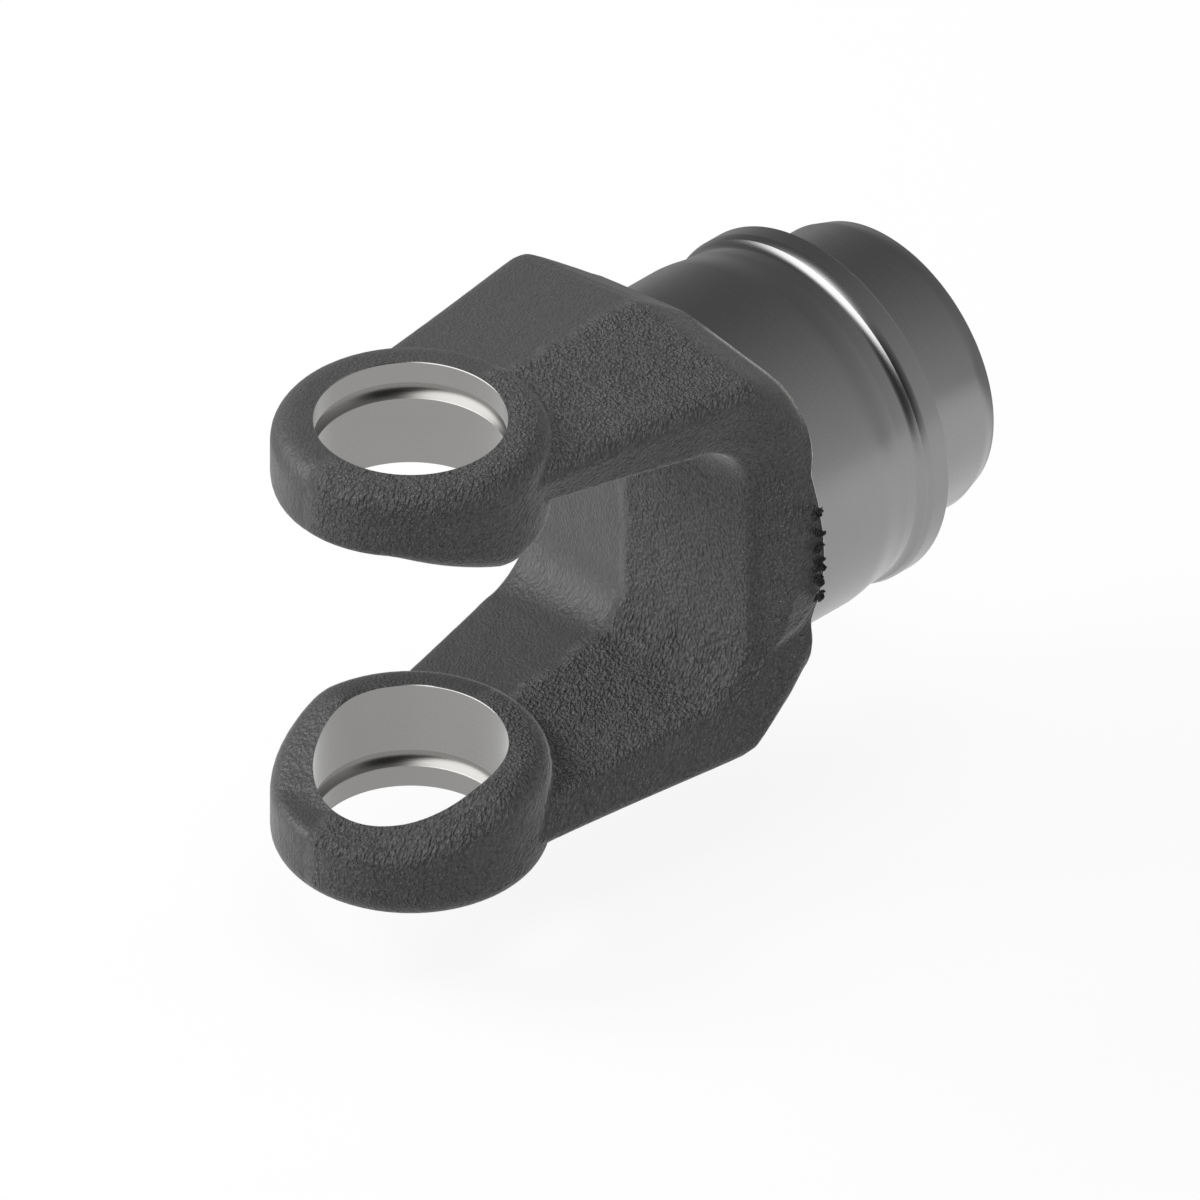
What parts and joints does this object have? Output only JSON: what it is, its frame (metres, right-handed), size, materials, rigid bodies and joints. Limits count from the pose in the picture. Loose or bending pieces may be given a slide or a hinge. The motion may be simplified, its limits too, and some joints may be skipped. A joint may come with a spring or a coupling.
{
  "type": "forged yoke",
  "caption": "Forged joint yoke: two drafted arms end in bored ears with snap ring grooves and join a turned hub with collar and tube pilot.",
  "frame": {"origin": "centre of the joint's cross, where the shaft axis meets the common axis of the two ear bores", "axes": "+X runs along the shaft from the cross centre to the hub and pilot, +Z along the ear bores, Y across the fork; the dies part on the plane Y = 0"},
  "size_m": [0.133, 0.0658, 0.085],
  "materials": {
    "forged_steel": "dark forged skin with fine grain; hub, collar, pilot and ear bores turned bright"
  },
  "bodies": {
    "root": {"forged_yoke": "forged_steel"}
  },
  "joints": []
}
